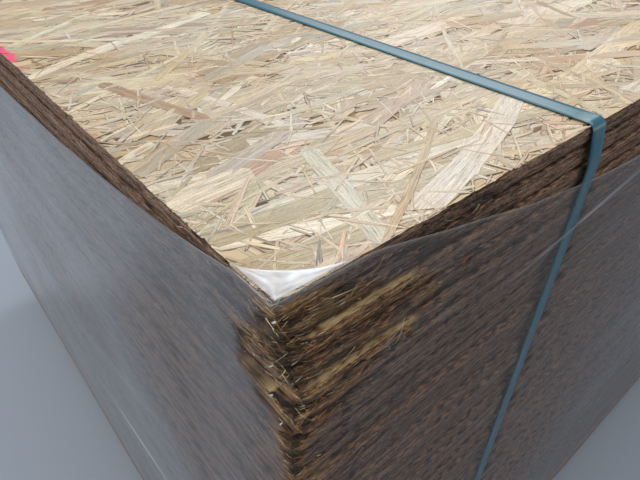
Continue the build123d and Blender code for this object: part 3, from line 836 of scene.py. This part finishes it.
# the columns of the sleeve's grid: five round each upright corner, then those along the side
outward = np.array([(0, -1), (1, 0), (0, 1), (-1, 0)])
plan = np.array([(-1, -1), (1, -1), (1, 1), (-1, 1)]) * (half_length, half_width)
side, start, end = rim(plan, 1.8 * mm, 22 * mm, 1 / 40)[:3]
columns = []
for k, corner in enumerate(plan):
    n0, n1 = outward[k - 1], outward[k]
    theta = (np.arange(turn_columns)[:, None] + 0.5) / turn_columns * math.pi / 2
    normal = n0 * np.cos(theta) + n1 * np.sin(theta)
    mask = (side == k) & (start > film_round) & (end > film_round)
    line = corner + np.array([-n1[1], n1[0]]) * start[mask, None]
    begun = 2 * (half_length * ((k + 1) // 2) + half_width * (k // 2))
    columns.append([corner - (n0 + n1) * film_round + normal * film_round, normal,
                    np.full(turn_columns, k), np.zeros(turn_columns), np.full(turn_columns, begun)])
    columns.append([line, n1 + 0 * line, np.full(len(line), k), np.minimum(start, end)[mask],
                    start[mask] + begun])
film, facing, side, along, run = (np.concatenate(part) for part in zip(*columns))
rows = np.concatenate([np.linspace(low, high, count)[:-1] for low, high, count in (
    (0, 0.16, 20), (0.16, 0.78, 24), (0.78, 0.93, 20), (0.93, 1, 26))] + [[1.0]])
long_side = side % 2 == 0
foot = pile_top - len(outlines) * panel_pitch + film_foot
foot = foot + foot_wave * (noise(run / 0.23, 0, 31) - 0.5)
brim = pile_top - hem_drop(side, along) + 0.3 * mm
brim = brim - brim_wave * noise(run / 0.035, 0, 32) * np.clip(along / 0.08, 0, 1)
level = foot + (brim - foot) * rows[:, None]
depth, raised = pile_top - level, level - foot
# the flow of the creases: along the winding, fanning out from the corner near the hem
fan = (depth - 0.75 * hem_drop(0, along)) / (9 * mm)
taut = np.where(long_side, 1.0, 0.12)
flow = taut * fan + 0.35 * noise(run / 0.2, depth / 0.05, 33)
flow = np.stack(np.broadcast_arrays(run / 0.16 / taut ** 0.5, flow, 0.0), -1)
swell = noise(run / 0.16, taut * fan / 5, 34)
swell = swell + 0.25 * taut * noise(run / 0.07, taut * fan / 1.6, 35) - 0.5
touching = film_touch(side, along, depth)
# folds along the foot, that die out towards its border
folds = noise(run / 0.5, raised / (17 * mm), 36) * np.exp(-raised / (60 * mm))
folds = folds * np.clip(raised / (40 * mm), 0, 1)
wave = film_wave * swell * np.clip(along / 0.05, 0.05, 1) * (1 - 0.8 * touching) + film_fold * folds
wave = film_gap + np.maximum(wave, -0.2 * mm)
# the ends follow the panels; the long sides do so by the corners, and hang outside the straps beyond
out_x, out_y = (
    np.where(facing[:, axis] > 0, clung(level, 1, axis, *form), clung(level, -1, axis, *form))
    for axis, form in enumerate(film_drape))
toward, strap_out = np.clip(along / strap_reach, 0, 1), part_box("strap_near_end")[1][1] + strap_cover
out_y = out_y * (1 - toward) + strap_out * toward
pushed = np.stack([out_x - half_length + wave, out_y - half_width + wave], -1)
points = np.concatenate([film + facing * pushed, level[..., None]], -1)
# the haze, and how closely the film is held: by the corner, over a strap, and on the end below a
# line that falls from the near corner
patches = noise(run / 0.09, depth / 0.06, 37) * 0.3 + 0.5 + 0.7 * noise(run / 0.3, depth / 0.22, 42)
reach = np.clip((along - 0.12) / 0.34, 0, 1)
close = np.clip((depth - 0.8 * along) / (60 * mm) + 1.3, 0, 1) * ~long_side
close = close * np.exp(-((along - 0.11) / 0.1) ** 2 - ((depth - 0.16) / 0.12) ** 2)
from_strap = np.abs(film[:, :1] - strap_stations).min(1)
drawn = np.clip((12 * mm - from_strap) / (4 * mm), 0, 1) * long_side
low_edge = np.exp(-raised / (24 * mm))
loose = 0.7 * close + 0.5 * np.clip(noise(run / 0.13, depth / 0.1, 43) - 0.4, 0, 1) + 0.9 * low_edge
held = np.where(long_side, 0.88 - 0.34 * reach, loose).clip(0, 0.95)
held = np.maximum(np.maximum(touching, drawn), held)
haze_and_fold_highlight = np.where(long_side, 0.17 + 0.36 * reach, 0.25 + 0.24 * close) * patches
haze_and_fold_highlight = haze_and_fold_highlight * np.clip(along / 0.05, 0.2, 1) * (1 - 0.9 * touching) * (1 - 0.85 * drawn)
# painted highlights: the folds along the foot of the ends are whitened into the haze
haze_and_fold_highlight = (haze_and_fold_highlight + 0.35 * np.clip(4 * folds - 1.0, 0, 1) * ~long_side) * (1 - 0.8 * low_edge)
haze_and_fold_highlight = haze_and_fold_highlight + 0.22 * np.exp(-((brim - level) / (1.6 * mm)) ** 2)
# stretch whitening by the top corner and along the hem, with a painted highlight by the corner; the ends
# are a little whiter as a painted reflection of the pale floor
strain_whitening_and_highlight = 0.5 * np.exp(-along / (30 * mm)) * np.exp(-depth / (20 * mm))
strain_whitening_and_highlight = strain_whitening_and_highlight + 0.3 * np.exp(-((brim - level) / (2 * mm)) ** 2) + 0.08 * ~long_side


def make_film(name, points, normals, closed, stands_for=(), **marks):
    """A sheet of film as a closed shell: the outer grid of points, the same grid film_wall further
    in, and a rim between the two along every free border."""
    total, across = points.shape[:2]
    inner = total * across
    outer = grid_quads(total, across, closed)
    quads = [outer, outer[:, ::-1] + inner]
    ring = np.arange(across if closed else across - 1)
    after, last = (ring + 1) % across, inner - across
    borders = [(after, ring), (last + ring, last + after)]
    if not closed:
        rise = np.arange(total - 1) * across
        borders += [(rise, rise + across), (rise + 2 * across - 1, rise + across - 1)]
    for a, b in borders:
        quads.append(np.stack([a, b, b + inner, a + inner], -1))
    make_piece(name, np.stack([points, points - normals * film_wall]), np.concatenate(quads),
               "stretch_film", [film_plastic], stands_for=stands_for,
               **{key: np.stack([mark, mark]) for key, mark in marks.items()})


normals = np.concatenate([facing, 0 * facing[:, :1]], 1)
make_film("film_wrap_sleeve", points, normals, True, ["film_wrap"], flow=flow, haze=haze_and_fold_highlight,
          milky=strain_whitening_and_highlight, cling=held)

# the flap over each top corner: its outer border follows the arrises, its inner one is the hollow
# curve a = run * t ** 1.41, b = run * (1 - t) ** 1.41 between their ends
t = np.linspace(0, 1, 61)
v = np.linspace(0, 1, 15)[1:, None]
bend = np.radians([0, 0, 30, 60, 90])[:, None]
border = flap_run * np.stack([np.maximum(2 * t - 1, 0), np.maximum(1 - 2 * t, 0)], -1)
hollow = flap_run * np.stack([t ** flap_hollow, (1 - t) ** flap_hollow], -1)
swing = np.clip((t - 0.5) / 0.05, -1, 1) * math.pi / 4 + math.pi / 4
facing = -np.stack([np.cos(swing), np.sin(swing)], -1)
rise = flap_bend * np.sin(bend) - flap_bend + flap_gap
rise[0] -= flap_skirt
skirt = border + facing * (flap_bend * np.cos(bend) - flap_bend + flap_gap)[..., None]
flat = np.concatenate([skirt, skirt[-1] * (1 - v[..., None]) + hollow * v[..., None]])
bulge = 0.5 * mm * np.sin(v * math.pi) * np.sin(t * math.pi) * noise(t * 9, v * 2, 38)
lifted = np.concatenate([rise + 0 * t, flap_gap + bulge])
lean = np.concatenate([bend, 0 * v + math.pi / 2])[..., None]
away = np.concatenate([0 * bend, v])
# the flap's whiteness and haze are stretch whitening with a painted highlight, brightest along its inner
# border
milk = 0.9 * np.clip(away / 0.08, 0.3, 1) + 0 * t
haze = 0.50 + 0.36 * np.clip(1.3 * away, 0, 1) + 0.25 * np.exp(-((1 - away) / 0.06) ** 2)
haze = np.where(away > 0, haze, 0.08)
haze = haze * (0.58 + 0.6 * noise(t * 9, away * 8, 41))
for k, far in enumerate(([0, 0], [1, 0], [1, 1], [0, 1])):
    ways = 1 - 2 * np.array(far)
    points = np.concatenate([top_box[far, [0, 1]] + flat * ways, pile_top + lifted[..., None]], -1)
    tip = np.concatenate([facing * ways, 0 * facing[:, :1]], -1)
    normals = tip * np.cos(lean) + np.array([0, 0, 1.0]) * np.sin(lean)
    creased = away * 6 + 3 * k + 0.8 * noise(t * 4, away * 2, 39)
    flow = np.stack(np.broadcast_arrays(t * 5, creased, 0.0), -1)
    grids = [points, normals, flow, haze, milk]
    if far[0] != far[1]:
        # a mirrored corner, turned round so that its faces still look outward
        grids = [grid[:, ::-1] for grid in grids]
    make_film(f"film_wrap_flap_{k + 1}", grids[0], grids[1], False, flow=grids[2], haze=grids[3],
              milky=grids[4], cling=0 * milk + 0.5)

# Beside the near upright corner the film has been torn and curled into thin white threads, and is
# gathered into small puckers at the arrises. Each is a closed tube of four sides that tapers out.
# Its row gives both ends, each by its distance along the long side or the end and its depth, and
# its half thickness, all in millimetres.
threads = [((61, 0, 41), (57, 0, 55), 0.34), ((58, 0, 47), (47, 0, 50), 0.26),
           ((63, 0, 52), (58, 0, 57), 0.22), ((48, 0, 49), (55, 0, 56), 0.2),
           ((0, 2, 4), (0, 3.6, 6), 0.6), ((0, 6, 29), (0, 7.6, 31), 0.55),
           ((0, 7.5, 47), (0, 9, 49), 0.6), ((0, 2.5, 59), (0, 3.5, 61.5), 0.45)]
thread_swing, pucker_half = 1.3 * mm, 0.34 * mm
draw = np.random.default_rng(71)
steps, sides = 15, 4
t = np.linspace(0, 1, steps)[:, None]
around = np.arange(sides)[:, None] * math.tau / sides
near_corner = np.append(outlines[:12, 0].min(0) - 0.9 * mm, pile_top)
made = []
for first, last, half in threads:
    way, out = np.array(((1, 0, 0), (0, -1, 0)) if last[0] > 0 else ((0, 1, 0), (-1, 0, 0)))
    phase, turns = draw.uniform(0, math.tau, 2), draw.uniform(5, 11)
    line = near_corner + (np.array(first) * (1 - t) + np.array(last) * t) * (mm, mm, -mm)
    swing = thread_swing * np.sin(t * turns + phase[0]) * np.sin(math.pi * t) * (half * mm < pucker_half)
    line = line + way * swing + out * (0.4 * mm + 0.8 * mm * np.sin(math.pi * t))
    slim = half * mm * (0.25 + np.sin(math.pi * t) ** 0.5 * draw.uniform(0.5, 1.1, (steps, 1)))
    spokes = way * np.cos(around) + 0.35 * out * np.sin(around)
    made.append((line, spokes, slim[:, 0], line[-1] - line[0]))
points, quads, caps = tubes(*(np.array(part) for part in zip(*made)))
still = np.ones(points.shape[:3])
make_piece("film_wrap_threads", points, quads, "stretch_film", [film_plastic], caps=caps,
           flow=0 * points, haze=0.6 * still, milky=still, cling=0.5 * still)

# The studio: a plain pale floor, a wide soft lamp overhead, one beyond the pack for the sheen of
# film and strap, one beside its near end that lights the floor there, and an even pale surround.
floor_half, floor_grey, surround_grey, surround_strength = 14, "A9B3C0", "E4E7EC", 0.34
floor_mesh = bpy.data.meshes.new("studio_floor")
floor_mesh.from_pydata([(-floor_half, -floor_half, 0), (floor_half, -floor_half, 0),
                        (floor_half, floor_half, 0), (-floor_half, floor_half, 0)], [], [(0, 1, 2, 3)])
floor = bpy.data.objects.new("studio_floor", floor_mesh)
bpy.context.scene.collection.objects.link(floor)
floor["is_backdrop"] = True
painted, add = begin("painted_studio_floor")
add("OutputMaterial", [add("BsdfPrincipled", {"Base Color": floor_grey, "Roughness": 0.8})])
floor_mesh.materials.append(painted)

# name, place, the point it looks at, size and power of each lamp
for name, spot, target, size, power in (("overhead", (-0.6, -0.75, 3.4), (-0.8, -0.3, 0.9), 2.6, 48.5),
                                        ("beyond", (1.55, 1.55, 3.2), (-1.2, -0.6, 0.9), 2.4, 47.0),
                                        ("beside", (-3.4, 1.2, 2.3), (-2.1, 0.3, 0.0), 1.6, 42.0)):
    lamp = bpy.data.lights.new(name, "AREA")
    lamp.shape, lamp.size, lamp.energy = "SQUARE", size, power
    holder = bpy.data.objects.new(name, lamp)
    aim = Vector(target) - Vector(spot)
    holder.matrix_world = Matrix.Translation(spot) @ aim.to_track_quat("-Z", "Y").to_matrix().to_4x4()
    bpy.context.scene.collection.objects.link(holder)
world = bpy.data.worlds.new("surround")
world.use_nodes = True
world.node_tree.nodes["Background"].inputs["Color"].default_value = linear(surround_grey)
world.node_tree.nodes["Background"].inputs["Strength"].default_value = surround_strength
bpy.context.scene.world = world
bpy.context.scene.view_settings.view_transform = "Standard"

# The camera stands just above and outside the near corner and looks down across it.
camera_place, camera_lens = (-1.3162, -0.7202, 1.0161), 29.2
yaw, pitch, roll = (math.radians(angle) for angle in (49.75, 37.72, -0.24))
ahead = np.array([math.cos(yaw) * math.cos(pitch), math.sin(yaw) * math.cos(pitch), -math.sin(pitch)])
right = np.array([math.sin(yaw), -math.cos(yaw), 0])
down = np.cross(ahead, right)
tilted_right = math.cos(roll) * right + math.sin(roll) * down
tilted_down = math.cos(roll) * down - math.sin(roll) * right
lens = bpy.data.cameras.new("camera")
lens.lens, lens.sensor_width, lens.clip_start, lens.clip_end = camera_lens, 36.0, 0.01, 60.0
camera = bpy.data.objects.new("camera", lens)
turn = Matrix([tilted_right, -tilted_down, -ahead]).transposed().to_4x4()
camera.matrix_world = Matrix.Translation(camera_place) @ turn
bpy.context.scene.collection.objects.link(camera)
bpy.context.scene.camera = camera

low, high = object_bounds()
